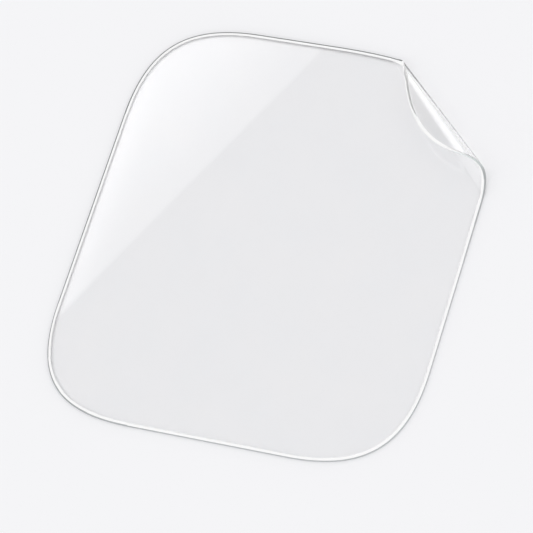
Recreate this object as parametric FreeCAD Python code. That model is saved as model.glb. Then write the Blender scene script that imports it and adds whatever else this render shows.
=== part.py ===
import FreeCAD, Part

# A screen protector for a smartwatch: one clear flexible film, with one corner rolled back over the front.
# Millimetres. The film lies on its underside. The origin is the middle of its outline on that face, X runs
# across the film, Y along its longer side and Z up through its thickness. The rolled corner is at +X +Y.

import math
import os

from FreeCAD import Vector

# Driving dimensions of the film
film_width = 34.0
film_height = 38.5
film_thickness = 0.30

# Soft corners: how far each one reaches along its two sides, and its curve's pull as a share of that reach
corner_reach = 9.8
corner_pull_share = 0.704

# The peeled corner is drawn in by its pulling, so it starts further along the top side
peeled_reach_side = 9.06
peeled_reach_top = 16.66
peeled_pull_side_share = 0.713
peeled_pull_top_share = 0.647

# Rounded front edge: its width seen from above, its height, and the count of bands that it is made of
edge_width = 0.40
edge_drop = 0.22
edge_band_count = 4

# The roll: the film is wrapped on slender cones with one apex, tight at the top side and wide at the long
# side, and ends in a flap. Each cone carries one step of the turn. The radius and half angle are those in
# the middle of the roll, and its looseness is how much wider it is at its start and end, as a share of them.
peel_direction = math.radians(43.8)
roll_inner_radius = 0.47
roll_half_angle = math.radians(2.226)
roll_turn = math.radians(180.0)
roll_looseness_share = 1.6
roll_step_count = 36
flap_length = 1.035

# Counts of points that carry a curve along one stretch of the edge, and of steps in a search
stretch_point_count = 41
search_step_count = 60

up = Vector(0, 0, 1)


# The flat outline

def bezier(poles, share):
    """Point at this share of a cubic curve."""
    rest = 1 - share
    weights = (rest ** 3, 3 * rest ** 2 * share, 3 * rest * share ** 2, share ** 3)
    point = Vector()
    for pole, weight in zip(poles, weights):
        point += pole * weight
    return point


def corner_poles(inset, side_x, side_y, reaches, pulls):
    """Cubic corner of the outline, from its side to its end. Reaches and pulls are along X, then along Y."""
    half_x = film_width / 2 - inset
    half_y = film_height / 2 - inset
    reach_x = reaches[0] - inset
    reach_y = reaches[1] - inset
    on_side = Vector(side_x * half_x, side_y * (half_y - reach_y), 0)
    on_end = Vector(side_x * (half_x - reach_x), side_y * half_y, 0)
    side_pull = Vector(0, side_y * pulls[1] * reach_y, 0)
    end_pull = Vector(side_x * pulls[0] * reach_x, 0, 0)
    return [on_side, on_side + side_pull, on_end + end_pull, on_end]


def plain_corner(inset, side_x, side_y):
    reaches = (corner_reach, corner_reach)
    pulls = (corner_pull_share, corner_pull_share)
    return corner_poles(inset, side_x, side_y, reaches, pulls)


def peeled_corner(inset):
    reaches = (peeled_reach_top, peeled_reach_side)
    pulls = (peeled_pull_top_share, peeled_pull_side_share)
    return corner_poles(inset, 1, 1, reaches, pulls)


def peeled_path(inset, place):
    """Outline round the peeled corner: 0 to 1 is the right side, 1 to 2 the corner, 2 to 3 the top side."""
    corner = peeled_corner(inset)
    if place <= 1:
        start = plain_corner(inset, 1, -1)[0]
        return start + (corner[0] - start) * place
    if place <= 2:
        return bezier(corner, place - 1)
    finish = plain_corner(inset, -1, 1)[3]
    return corner[3] + (finish - corner[3]) * (place - 2)


def highest(value, low, high):
    """Where a function with one hump is highest."""
    for _ in range(search_step_count):
        third = (high - low) / 3
        if value(low + third) < value(high - third):
            low += third
        else:
            high -= third
    return (low + high) / 2


# The roll

peel_across = Vector(math.cos(peel_direction), math.sin(peel_direction), 0)
peel_along = Vector(math.sin(peel_direction), -math.cos(peel_direction), 0)


def cone_half_angle(step):
    """Half angle of the cone that carries this step of the roll."""
    place = 2 * (step + 0.5) / roll_step_count - 1
    return math.atan(math.tan(roll_half_angle) * (1 + roll_looseness_share * place ** 2))


step_turn = roll_turn / roll_step_count
cones = [cone_half_angle(step) for step in range(roll_step_count)]
step_angles = [0.0]
for cone in cones:
    step_angles.append(step_angles[-1] + step_turn * math.sin(cone))
roll_angle = step_angles[-1]

tip = peeled_path(0, highest(lambda place: peeled_path(0, place).dot(peel_across), 0, 3))
tip_reach = (roll_inner_radius + film_thickness) / math.tan(roll_half_angle)
tip_angle = roll_angle + flap_length / tip_reach
apex = tip - (peel_along * math.cos(tip_angle) + peel_across * math.sin(tip_angle)) * tip_reach


def ruling_angle(point):
    """Angle about the apex from the line where the roll starts."""
    flat = point - apex
    return math.atan2(flat.dot(peel_across), flat.dot(peel_along))


def rolled(point, height):
    """Where a place of the flat film lies once the corner is rolled, at a height above the underside."""
    angle = ruling_angle(point)
    if angle <= 0:
        return point + up * height
    reach = (point - apex).Length
    ruling, ahead, inward = peel_along, peel_across, up
    for cone in cones:
        wrapped = min(angle, step_turn * math.sin(cone))
        axis = ruling * math.cos(cone) + inward * math.sin(cone)
        turn = FreeCAD.Rotation(axis, math.degrees(wrapped / math.sin(cone)))
        ruling, ahead, inward = [turn.multVec(side) for side in (ruling, ahead, inward)]
        angle -= wrapped
    return apex + (ruling * math.cos(angle) + ahead * math.sin(angle)) * reach + inward * height


def crossing(inset, angle, outside, inside):
    """Place on the peeled path where it crosses the ruling at this angle."""
    for _ in range(search_step_count):
        middle = (outside + inside) / 2
        if ruling_angle(peeled_path(inset, middle)) < angle:
            outside = middle
        else:
            inside = middle
    return (outside + inside) / 2


# Curves of the edge

def evenly(first, last, count):
    return [first + (last - first) * index / (count - 1) for index in range(count)]


def curve_from_poles(poles):
    """Line from two poles, or cubic curve from four."""
    curve = Part.BezierCurve()
    curve.setPoles(poles)
    return curve.toShape()


def edge_curves(inset, height):
    """All stretches of the film's edge at one inset from the outline and one height above the underside."""
    peak = highest(lambda place: ruling_angle(peeled_path(inset, place)), 0, 3)

    def stretch(first, last):
        curve = Part.BSplineCurve()
        places = evenly(first, last, stretch_point_count)
        curve.interpolate([rolled(peeled_path(inset, place), height) for place in places])
        return curve.toShape()

    def roll(outside):
        curve = Part.BSplineCurve()
        places = [crossing(inset, angle, outside, peak) for angle in step_angles]
        points = [rolled(peeled_path(inset, place), height) for place in places]
        curve.interpolate(Points=points, Parameters=evenly(0, 1, roll_step_count + 1))
        return curve.toShape()

    def raised(poles):
        return curve_from_poles([pole + up * height for pole in poles])

    top_left = plain_corner(inset, -1, 1)
    bottom_left = plain_corner(inset, -1, -1)
    bottom_right = plain_corner(inset, 1, -1)
    return {
        "right side": stretch(0, crossing(inset, 0, 0, peak)),
        "right roll": roll(0),
        "flap": stretch(crossing(inset, roll_angle, 0, peak), crossing(inset, roll_angle, 3, peak)),
        "top roll": roll(3),
        "top side": stretch(crossing(inset, 0, 3, peak), 3),
        "top left corner": raised(top_left),
        "left side": raised([top_left[0], bottom_left[0]]),
        "bottom left corner": raised(bottom_left),
        "bottom side": raised([bottom_left[3], bottom_right[3]]),
        "bottom right corner": raised(bottom_right),
    }


def edge_levels():
    """Inset and height of each step up the edge: upright foot, then quarter ellipse to the front face."""
    foot = film_thickness - edge_drop
    levels = [(0, 0)]
    for turn in evenly(0, math.pi / 2, edge_band_count + 1):
        levels.append((edge_width * (1 - math.cos(turn)), foot + edge_drop * math.sin(turn)))
    return levels


# Faces

def flat_face(edges):
    return Part.Face(Part.Wire(Part.__sortEdges__(edges)))


def ruled_face(first, second):
    """Face of straight lines from one edge to another that runs the same way."""
    same_way = 1
    return Part.makeRuledSurface(first, second, same_way)


def sheet_faces(curves):
    """Flat sheet, roll and flap on one face of the film."""
    curves = dict(curves)
    flap = curves.pop("flap")
    right = curves.pop("right roll")
    top = curves.pop("top roll")
    start = Part.makeLine(right.firstVertex().Point, top.firstVertex().Point)
    finish = Part.makeLine(right.lastVertex().Point, top.lastVertex().Point)
    sheet = flat_face(list(curves.values()) + [start])
    return [sheet, ruled_face(right, top), flat_face([flap, finish])]


def make_film():
    levels = [edge_curves(inset, height) for inset, height in edge_levels()]
    faces = sheet_faces(levels[0]) + sheet_faces(levels[-1])
    for lower, upper in zip(levels, levels[1:]):
        faces += [ruled_face(lower[name], upper[name]) for name in lower]
    shell = Part.makeShell(faces)
    shell.sewShape()
    film = Part.makeSolid(shell)
    if film.Volume < 0:
        film.reverse()
    return film


os.makedirs("parts", exist_ok=True)
film = make_film()
film.exportStep("parts/protector_film.step")
print("volume", round(film.Volume, 3), "valid", film.isValid(), "box", film.BoundBox)
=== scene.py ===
import math

import bmesh
import bpy
from mathutils import Matrix, Vector
from numpy import interp


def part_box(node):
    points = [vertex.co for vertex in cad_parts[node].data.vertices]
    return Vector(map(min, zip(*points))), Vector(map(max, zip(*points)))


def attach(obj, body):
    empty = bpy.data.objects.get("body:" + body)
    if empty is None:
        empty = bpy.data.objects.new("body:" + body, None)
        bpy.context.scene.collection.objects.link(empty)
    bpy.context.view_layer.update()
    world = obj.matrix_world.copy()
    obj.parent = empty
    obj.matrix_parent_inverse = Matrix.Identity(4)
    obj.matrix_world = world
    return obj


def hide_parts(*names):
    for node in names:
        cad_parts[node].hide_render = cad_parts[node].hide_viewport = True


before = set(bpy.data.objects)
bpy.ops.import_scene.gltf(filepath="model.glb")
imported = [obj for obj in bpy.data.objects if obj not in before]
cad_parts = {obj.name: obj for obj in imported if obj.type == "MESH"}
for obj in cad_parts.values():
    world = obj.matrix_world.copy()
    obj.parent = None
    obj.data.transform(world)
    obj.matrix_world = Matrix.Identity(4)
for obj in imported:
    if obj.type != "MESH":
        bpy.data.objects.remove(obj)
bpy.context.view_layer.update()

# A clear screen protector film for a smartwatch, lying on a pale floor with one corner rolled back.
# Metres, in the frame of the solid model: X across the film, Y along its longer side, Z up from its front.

MM = 0.001

# Driving dimensions of the film, as in the solid
film_low, film_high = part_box("protector_film")
film_width = film_high.x - film_low.x
film_height = film_high.y - film_low.y
film_thickness = 0.30 * MM
corner_reach = 9.8 * MM
corner_pull_share = 0.704
peeled_reach_side = 9.06 * MM
peeled_reach_top = 16.66 * MM
peeled_pull_side_share = 0.713
peeled_pull_top_share = 0.647
edge_width = 0.40 * MM
edge_drop = 0.22 * MM
peel_direction = math.radians(43.8)
roll_inner_radius = 0.47 * MM
roll_half_angle = math.radians(2.226)
roll_turn = math.radians(180.0)
roll_looseness_share = 1.6
roll_step_count = 36
flap_length = 1.035 * MM

# Numbers of the film's materials, in their order: clear film, a dark cut edge of painted shade, frosted
# white that is also a painted highlight
CLEAR = 0
SHADED_CUT_LINE = 1
FROSTED_HIGHLIGHT = 2

# How far the dark edge line of painted shade and the frosted white of painted highlight reach in from the
# outline, at the film's lower right corner and at its upper left. Both are wider at the upper left, as
# painted shade and painted highlight.
shaded_cut_widths = (0.025 * MM, 0.155 * MM)
highlight_widths = (0.20 * MM, 0.40 * MM)

# Places on the rolled edge run from 0 to 1 on the right roll, to 2 on the flap and to 3 on the top roll.
# By place: shares of the two widths above, and the width of a white line of painted highlight on the
# underside
roll_places = {"right roll": 0, "flap": 1, "top roll": 2}
roll_shaded_cut_shares = {0.55: 1.0, 1.0: 0.0, 2.50: 0.0, 2.95: 1.0}
roll_highlight_shares = {0.9: 1.0, 1.7: 0.7, 2.0: 0.7, 2.2: 1.0}
broad_highlight_line = 0.25 * MM
fine_highlight_line = 0.10 * MM
underside_highlight_widths = {
    0.75: 0.0,
    1.1: broad_highlight_line,
    1.6: broad_highlight_line,
    1.75: fine_highlight_line,
    2.0: fine_highlight_line,
    2.1: 0.0,
}

# Fineness of the film's mesh
edge_band_count = 20
strip_band_count = 5
corner_point_count = 48
side_point_count = 24
roll_point_count = 121
flap_point_count = 96
search_step_count = 60

# Materials
plastic_ior = 1.56
film_clearness = 0.97
film_roughness = 0.0
film_tints = ((0.975, 0.979, 0.982, 1), (0.995, 0.991, 0.988, 1))
cloud_size = 5.0 * MM
cut_clearness = 0.0
cut_roughness = 0.5
# Tones of the dark cut edge, a painted shade: darker at the upper left, paler up the roll
cut_lower_right_lit_tone = (0.48, 0.50, 0.51, 1)
cut_upper_left_shaded_tone = (0.14, 0.15, 0.15, 1)
cut_raised_tone = (0.80, 0.86, 0.86, 1)
cut_paling_start = 0.9 * MM
cut_paling_end = 2.3 * MM
# Frosted white of the rounded edge, which also serves as a painted highlight
white_clearness = 0.05
white_roughness = 0.4
white_tints = ((0.97, 0.97, 0.97, 1), (1.0, 1.0, 1.0, 1))
grain_size = 0.08 * MM
grain_depth = 0.008 * MM
grain_detail = 3.0
frost_strength = 0.3

# The camera, turned and placed as fitted to the photograph's outline in units of half the film's width
photo_size = 533
photo_focal = 3551.4
fit_unit = 17.0 * MM
camera_turn = Vector((-0.4330, 0.2967, 0.2397))
camera_offset = Vector((0.03175, -0.13399, 17.8991)) * fit_unit
sensor_width = 36.0
nearest_seen = 0.01
farthest_seen = 20.0

# The floor, matt and just under the film
floor_half = 3.0
floor_drop = 0.02 * MM
floor_colour = (0.913, 0.913, 0.930, 1)
floor_roughness = 1.0
floor_gloss = 0.0

# The sky as the film mirrors it: a dim patch, a softbox in it and a lamp that lights the fold, whose axis is
# across the roll. Each has its levels by share along its axis, where an even sky is 1. A long axis spreads
# small shares. The limits fade a light out, and the gains make the softbox brighter towards the left rim.
sky_colour = (1, 1, 1, 1)
even_level = 1.0
patch_middle = (-0.331, 0.375, 0.866)
patch_levels = [(0.30, 1.0), (0.925, 1.0), (0.972, 0.35), (0.985, 0.35), (0.992, 0.64)]
softbox_side = (-7.642, 4.042, -5.026)
softbox_near_levels = [(0.0, 0.0), (0.004, 0.64), (0.016, 1.20), (0.056, 1.30)]
softbox_far_levels = [(0.30, 2.38), (0.45, 2.38), (0.55, 0.0)]
softbox_limits = [(0.988, 0.0), (0.994, 1.0)]
softbox_rim = (-9.695, -0.802, -3.861)
softbox_gains = [(0.0, 1.0), (0.054, 1.18), (0.108, 1.58)]
fold_lamp_levels = [(0.12, 0.0), (0.46, 2.6), (0.68, 2.6), (0.77, 0.9)]
fold_lamp_limits = [(0.15, 0.0), (0.30, 1.0), (0.70, 1.0), (0.85, 0.0)]

# Light runs far inside a clear sheet before it leaves at an edge
bounce_limit = 32
glossy_blur = 0.0

up = Vector((0, 0, 1))


# The film's outline

def bezier(poles, share):
    """Point at this share of a cubic curve."""
    rest = 1 - share
    weights = (rest ** 3, 3 * rest ** 2 * share, 3 * rest * share ** 2, share ** 3)
    return sum((pole * weight for pole, weight in zip(poles, weights)), Vector((0, 0, 0)))


def evenly(first, last, count):
    return [first + (last - first) * index / (count - 1) for index in range(count)]


def corner_poles(inset, side_x, side_y, reaches, pulls):
    """Cubic corner of the outline, from its side to its end. Reaches and pulls are along X, then Y."""
    half_x = film_width / 2 - inset
    half_y = film_height / 2 - inset
    reach_x = reaches[0] - inset
    reach_y = reaches[1] - inset
    on_side = Vector((side_x * half_x, side_y * (half_y - reach_y), 0))
    on_end = Vector((side_x * (half_x - reach_x), side_y * half_y, 0))
    side_pull = Vector((0, side_y * pulls[1] * reach_y, 0))
    end_pull = Vector((side_x * pulls[0] * reach_x, 0, 0))
    return [on_side, on_side + side_pull, on_end + end_pull, on_end]


def plain_corner(inset, side_x, side_y):
    reaches = (corner_reach, corner_reach)
    pulls = (corner_pull_share, corner_pull_share)
    return corner_poles(inset, side_x, side_y, reaches, pulls)


def peeled_corner(inset):
    reaches = (peeled_reach_top, peeled_reach_side)
    pulls = (peeled_pull_top_share, peeled_pull_side_share)
    return corner_poles(inset, 1, 1, reaches, pulls)


def peeled_path(inset, place):
    """Outline round the peeled corner: 0 to 1 is the right side, 1 to 2 the corner, 2 to 3 the top side."""
    corner = peeled_corner(inset)
    if place <= 1:
        return plain_corner(inset, 1, -1)[0].lerp(corner[0], place)
    if place <= 2:
        return bezier(corner, place - 1)
    return corner[3].lerp(plain_corner(inset, -1, 1)[3], place - 2)


def highest(value, low, high):
    """Where a function with one hump is highest."""
    for _ in range(search_step_count):
        third = (high - low) / 3
        if value(low + third) < value(high - third):
            low += third
        else:
            high -= third
    return (low + high) / 2


# The rolled corner: a chain of slender cones with one apex, wider at the roll's start and end

peel_across = Vector((math.cos(peel_direction), math.sin(peel_direction), 0))
peel_along = Vector((math.sin(peel_direction), -math.cos(peel_direction), 0))


def cone_half_angle(step):
    """Half angle of the cone that carries this step of the roll."""
    place = 2 * (step + 0.5) / roll_step_count - 1
    return math.atan(math.tan(roll_half_angle) * (1 + roll_looseness_share * place ** 2))


step_turn = roll_turn / roll_step_count
cones = [cone_half_angle(step) for step in range(roll_step_count)]
roll_angle = sum(step_turn * math.sin(cone) for cone in cones)

tip = peeled_path(0, highest(lambda place: peeled_path(0, place).dot(peel_across), 0, 3))
tip_reach = (roll_inner_radius + film_thickness) / math.tan(roll_half_angle)
tip_angle = roll_angle + flap_length / tip_reach
apex = tip - (peel_along * math.cos(tip_angle) + peel_across * math.sin(tip_angle)) * tip_reach


def ruling_angle(point):
    """Angle about the apex from the line where the roll starts."""
    flat = point - apex
    return math.atan2(flat.dot(peel_across), flat.dot(peel_along))


def rolled(point, height):
    """Where a place of the flat film lies once the corner is rolled, at a height above the underside."""
    angle = ruling_angle(point)
    if angle <= 0:
        return point + up * height
    reach = (point - apex).length
    ruling, ahead, inward = peel_along, peel_across, up
    for cone in cones:
        wrapped = min(angle, step_turn * math.sin(cone))
        axis = ruling * math.cos(cone) + inward * math.sin(cone)
        turn = Matrix.Rotation(wrapped / math.sin(cone), 3, axis)
        ruling, ahead, inward = [turn @ side for side in (ruling, ahead, inward)]
        angle -= wrapped
    return apex + (ruling * math.cos(angle) + ahead * math.sin(angle)) * reach + inward * height


def crossing(inset, angle, outside, inside):
    """Place on the peeled path where it crosses the ruling at this angle."""
    for _ in range(search_step_count):
        middle = (outside + inside) / 2
        if ruling_angle(peeled_path(inset, middle)) < angle:
            outside = middle
        else:
            inside = middle
    return (outside + inside) / 2


# The film's mesh

def edge_levels():
    """Inset and height of each step: strip of the underside, upright foot, quarter ellipse to the front."""
    foot = film_thickness - edge_drop
    strip_width = max(underside_highlight_widths.values())
    levels = [(inset, 0) for inset in evenly(strip_width, 0, strip_band_count + 1)]
    for turn in evenly(0, math.pi / 2, edge_band_count + 1):
        levels.append((edge_width * (1 - math.cos(turn)), foot + edge_drop * math.sin(turn)))
    return levels


def edge_ring(inset, height):
    """Points of the film's edge by stretch, anticlockwise, each point in one stretch only."""
    peak = highest(lambda place: ruling_angle(peeled_path(inset, place)), 0, 3)
    angles = evenly(0, roll_angle, roll_point_count)
    right = [crossing(inset, angle, 0, peak) for angle in angles]
    top = [crossing(inset, angle, 3, peak) for angle in reversed(angles)]
    peeled = {
        "right side": evenly(0, right[0], side_point_count),
        "right roll": right,
        "flap": evenly(right[-1], top[0], flap_point_count),
        "top roll": top,
        "top side": evenly(top[-1], 3, side_point_count),
    }
    ring = {}
    for name, places in peeled.items():
        ring[name] = [rolled(peeled_path(inset, place), height) for place in places[:-1]]
    plain = {
        "top left": list(reversed(plain_corner(inset, -1, 1))),
        "bottom left": plain_corner(inset, -1, -1),
        "bottom right": list(reversed(plain_corner(inset, 1, -1))),
    }
    for name, poles in plain.items():
        ring[name] = [bezier(poles, share) + up * height for share in evenly(0, 1, corner_point_count)]
    ring["bottom right"].pop()
    return ring


def along_roll(values, place):
    """Value at this place of the rolled edge, in even slopes between the places that have one."""
    return interp(place, list(values.keys()), list(values.values()))


def width_at(point, widths):
    """Width here of a line that has one width at the lower right corner and another at the upper left, where
    the painted shade and painted highlight are wider.
    """
    lean = min(1, max(0, 0.5 + (point.y - point.x) / film_width))
    return widths[0] + (widths[1] - widths[0]) * lean


def edge_finish(inset, stretch, share, point):
    """Material of the foot and the rounded edge at this point: a dark line of painted shade, then frosted
    white that is also a painted highlight, then clear.
    """
    cut = width_at(point, shaded_cut_widths)
    white = width_at(point, highlight_widths)
    if stretch in roll_places:
        place = roll_places[stretch] + share
        cut *= along_roll(roll_shaded_cut_shares, place)
        white *= along_roll(roll_highlight_shares, place)
    if inset < cut:
        return SHADED_CUT_LINE
    return FROSTED_HIGHLIGHT if inset < white else CLEAR


def strip_finish(inset, stretch, share, point):
    """Material of the underside's strip, which is clear but for the white line of painted highlight on the
    rolled edge.
    """
    if stretch not in roll_places:
        return CLEAR
    width = along_roll(underside_highlight_widths, roll_places[stretch] + share)
    return FROSTED_HIGHLIGHT if inset <= width else CLEAR


def edge_faces(mesh, lower, upper, inset, finish):
    """One band of faces between two rings of the edge."""
    lower_loop = [vertex for stretch in lower.values() for vertex in stretch]
    upper_loop = [vertex for stretch in upper.values() for vertex in stretch]
    places = []
    for name, stretch in lower.items():
        places += [(name, index / len(stretch)) for index in range(len(stretch))]
    for index, (name, share) in enumerate(places):
        before = index - 1
        corners = (lower_loop[before], lower_loop[index], upper_loop[index], upper_loop[before])
        face = mesh.faces.new(corners)
        face.smooth = True
        face.material_index = finish(inset, name, share, lower_loop[index].co)


def sheet_faces(mesh, ring):
    """Flat sheet, roll and flap on one face of the film."""
    right = ring["right roll"] + ring["flap"][:1]
    top = list(reversed(ring["top roll"] + ring["top side"][:1]))
    for index in range(1, len(right)):
        mesh.faces.new((right[index - 1], right[index], top[index], top[index - 1])).smooth = True
    corners = ring["top left"] + ring["bottom left"] + ring["bottom right"]
    mesh.faces.new(ring["right side"] + ring["right roll"][:1] + ring["top side"] + corners)
    mesh.faces.new(ring["flap"] + ring["top roll"][:1])


def make_film():
    mesh = bmesh.new()
    levels = edge_levels()
    rings = []
    for inset, height in levels:
        ring = edge_ring(inset, height)
        rings.append({name: [mesh.verts.new(point) for point in points] for name, points in ring.items()})
    for level in range(len(levels) - 1):
        finish = strip_finish if level < strip_band_count else edge_finish
        edge_faces(mesh, rings[level], rings[level + 1], levels[level][0], finish)
    sharp = [vertex for stretch in rings[strip_band_count].values() for vertex in stretch]
    for index, vertex in enumerate(sharp):
        mesh.edges.get((sharp[index - 1], vertex)).smooth = False
    sheet_faces(mesh, rings[0])
    sheet_faces(mesh, rings[-1])
    bmesh.ops.recalc_face_normals(mesh, faces=mesh.faces)
    data = bpy.data.meshes.new("film")
    mesh.to_mesh(data)
    mesh.free()
    film = bpy.data.objects.new("film", data)
    bpy.context.scene.collection.objects.link(film)
    return film


# The film's materials

def plastic(name, clearness, roughness):
    material = bpy.data.materials.new(name)
    material.use_nodes = True
    shader = material.node_tree.nodes["Principled BSDF"]
    shader.inputs["Transmission Weight"].default_value = clearness
    shader.inputs["Roughness"].default_value = roughness
    shader.inputs["IOR"].default_value = plastic_ior
    return material


def place_on_film(material):
    return material.node_tree.nodes.new("ShaderNodeTexCoord").outputs["Object"]


def grain(material, size):
    """Uneven pattern with spots of about this size, from 0 to 1."""
    noise = material.node_tree.nodes.new("ShaderNodeTexNoise")
    noise.inputs["Scale"].default_value = 1 / size
    noise.inputs["Detail"].default_value = grain_detail
    material.node_tree.links.new(place_on_film(material), noise.inputs["Vector"])
    return noise.outputs["Fac"]


def share_along(material, axis, low, high):
    """From 0 to 1 between two distances along an axis of the film."""
    nodes = material.node_tree.nodes
    links = material.node_tree.links
    distance = nodes.new("ShaderNodeVectorMath")
    distance.operation = "DOT_PRODUCT"
    distance.inputs[1].default_value = axis
    links.new(place_on_film(material), distance.inputs[0])
    share = nodes.new("ShaderNodeMapRange")
    share.inputs["From Min"].default_value = low
    share.inputs["From Max"].default_value = high
    links.new(distance.outputs["Value"], share.inputs["Value"])
    return share.outputs["Result"]


def mixed(material, share, first, second):
    """Colour between two others, each of them a colour or the output of a node."""
    mix = material.node_tree.nodes.new("ShaderNodeMix")
    mix.data_type = "RGBA"
    material.node_tree.links.new(share, mix.inputs["Factor"])
    for name, colour in (("A", first), ("B", second)):
        if isinstance(colour, tuple):
            mix.inputs[name].default_value = colour
        else:
            material.node_tree.links.new(colour, mix.inputs[name])
    return mix.outputs["Result"]


def paint(material, colour):
    shader = material.node_tree.nodes["Principled BSDF"]
    material.node_tree.links.new(colour, shader.inputs["Base Color"])


def frost(material, pattern):
    """Roughen the surface by a pattern."""
    bump = material.node_tree.nodes.new("ShaderNodeBump")
    bump.inputs["Strength"].default_value = frost_strength
    bump.inputs["Distance"].default_value = grain_depth
    material.node_tree.links.new(pattern, bump.inputs["Height"])
    shader = material.node_tree.nodes["Principled BSDF"]
    material.node_tree.links.new(bump.outputs["Normal"], shader.inputs["Normal"])


def clear_film():
    """Clear gloss with a faint cloudiness."""
    material = plastic("clear film", film_clearness, film_roughness)
    paint(material, mixed(material, grain(material, cloud_size), *film_tints))
    return material


def shaded_cut_line():
    """Frosted dark line of painted shade on the cut edge, darker towards the film's upper left corner and
    paler up the roll.
    """
    material = plastic("shaded cut line", cut_clearness, cut_roughness)
    half = film_width / 2
    lean = share_along(material, (-1, 1, 0), -half, half)
    tone = mixed(material, lean, cut_lower_right_lit_tone, cut_upper_left_shaded_tone)
    climb = share_along(material, up, cut_paling_start, cut_paling_end)
    paint(material, mixed(material, climb, tone, cut_raised_tone))
    frost(material, grain(material, grain_size))
    return material


def frosted_highlight():
    """Frosted white on the rounded edge, which is also a painted highlight."""
    material = plastic("frosted highlight band", white_clearness, white_roughness)
    spots = grain(material, grain_size)
    paint(material, mixed(material, spots, *white_tints))
    frost(material, spots)
    return material


film = make_film()
for material in (clear_film(), shaded_cut_line(), frosted_highlight()):
    film.data.materials.append(material)
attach(film, "root")
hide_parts("protector_film")


# The camera, the floor and the light

def make_camera():
    flip = Matrix.Diagonal((1, -1, -1))
    turn = flip @ Matrix.Rotation(camera_turn.length, 3, camera_turn) @ flip
    data = bpy.data.cameras.new("camera")
    data.sensor_width = sensor_width
    data.lens = sensor_width * photo_focal / photo_size
    data.clip_start = nearest_seen
    data.clip_end = farthest_seen
    camera = bpy.data.objects.new("camera", data)
    place = -(turn.transposed() @ (flip @ camera_offset))
    camera.matrix_world = Matrix.Translation(place) @ turn.transposed().to_4x4()
    bpy.context.scene.collection.objects.link(camera)
    bpy.context.scene.camera = camera


def make_floor():
    sides = [(-1, -1), (1, -1), (1, 1), (-1, 1)]
    corners = [(x * floor_half, y * floor_half, -floor_drop) for x, y in sides]
    data = bpy.data.meshes.new("floor")
    data.from_pydata(corners, [], [range(len(corners))])
    floor = bpy.data.objects.new("floor", data)
    bpy.context.scene.collection.objects.link(floor)
    material = bpy.data.materials.new("floor")
    material.use_nodes = True
    shader = material.node_tree.nodes["Principled BSDF"]
    shader.inputs["Base Color"].default_value = floor_colour
    shader.inputs["Roughness"].default_value = floor_roughness
    shader.inputs["Specular IOR Level"].default_value = floor_gloss
    data.materials.append(material)


def make_world():
    """Even light on all that is matt. What is clear mirrors the patch, the softbox and the lamp."""
    world = bpy.data.worlds.new("studio")
    bpy.context.scene.world = world
    world.use_nodes = True
    nodes = world.node_tree.nodes
    links = world.node_tree.links
    direction = nodes.new("ShaderNodeTexCoord").outputs["Generated"]

    def levels_along(axis, levels):
        share = nodes.new("ShaderNodeVectorMath")
        share.operation = "DOT_PRODUCT"
        share.inputs[1].default_value = axis
        links.new(direction, share.inputs[0])
        ramp = nodes.new("ShaderNodeValToRGB")
        stops = ramp.color_ramp.elements
        for place, level in levels[1:-1]:
            stops.new(place)
        for stop, (place, level) in zip(stops, levels):
            stop.position = place
            stop.color = (level, level, level, 1)
        links.new(share.outputs["Value"], ramp.inputs["Fac"])
        return ramp.outputs["Color"]

    def joined(operation, first, second):
        join = nodes.new("ShaderNodeMath")
        join.operation = operation
        links.new(first, join.inputs[0])
        links.new(second, join.inputs[1])
        return join.outputs["Value"]

    patch = levels_along(patch_middle, patch_levels)
    band = levels_along(softbox_side, softbox_near_levels + softbox_far_levels)
    limited_band = joined("MULTIPLY", band, levels_along(patch_middle, softbox_limits))
    softbox = joined("MULTIPLY", limited_band, levels_along(softbox_rim, softbox_gains))
    strip = levels_along(peel_across, fold_lamp_levels)
    fold_lamp = joined("MULTIPLY", strip, levels_along(-peel_along, fold_lamp_limits))
    mirrored_sky = joined("MAXIMUM", joined("MAXIMUM", patch, softbox), fold_lamp)
    path = nodes.new("ShaderNodeLightPath").outputs
    mirrored = joined("MAXIMUM", path["Is Glossy Ray"], path["Is Transmission Ray"])
    level = nodes.new("ShaderNodeMix")
    links.new(joined("GREATER_THAN", mirrored, path["Diffuse Depth"]), level.inputs["Factor"])
    level.inputs["A"].default_value = even_level
    links.new(mirrored_sky, level.inputs["B"])
    links.new(level.outputs["Result"], nodes["Background"].inputs["Strength"])
    nodes["Background"].inputs["Color"].default_value = sky_colour


make_camera()
make_floor()
make_world()
bpy.context.scene.view_settings.view_transform = "Standard"

light_paths = bpy.context.scene.cycles
light_paths.blur_glossy = glossy_blur
light_paths.max_bounces = bounce_limit
light_paths.transmission_bounces = bounce_limit
light_paths.glossy_bounces = bounce_limit
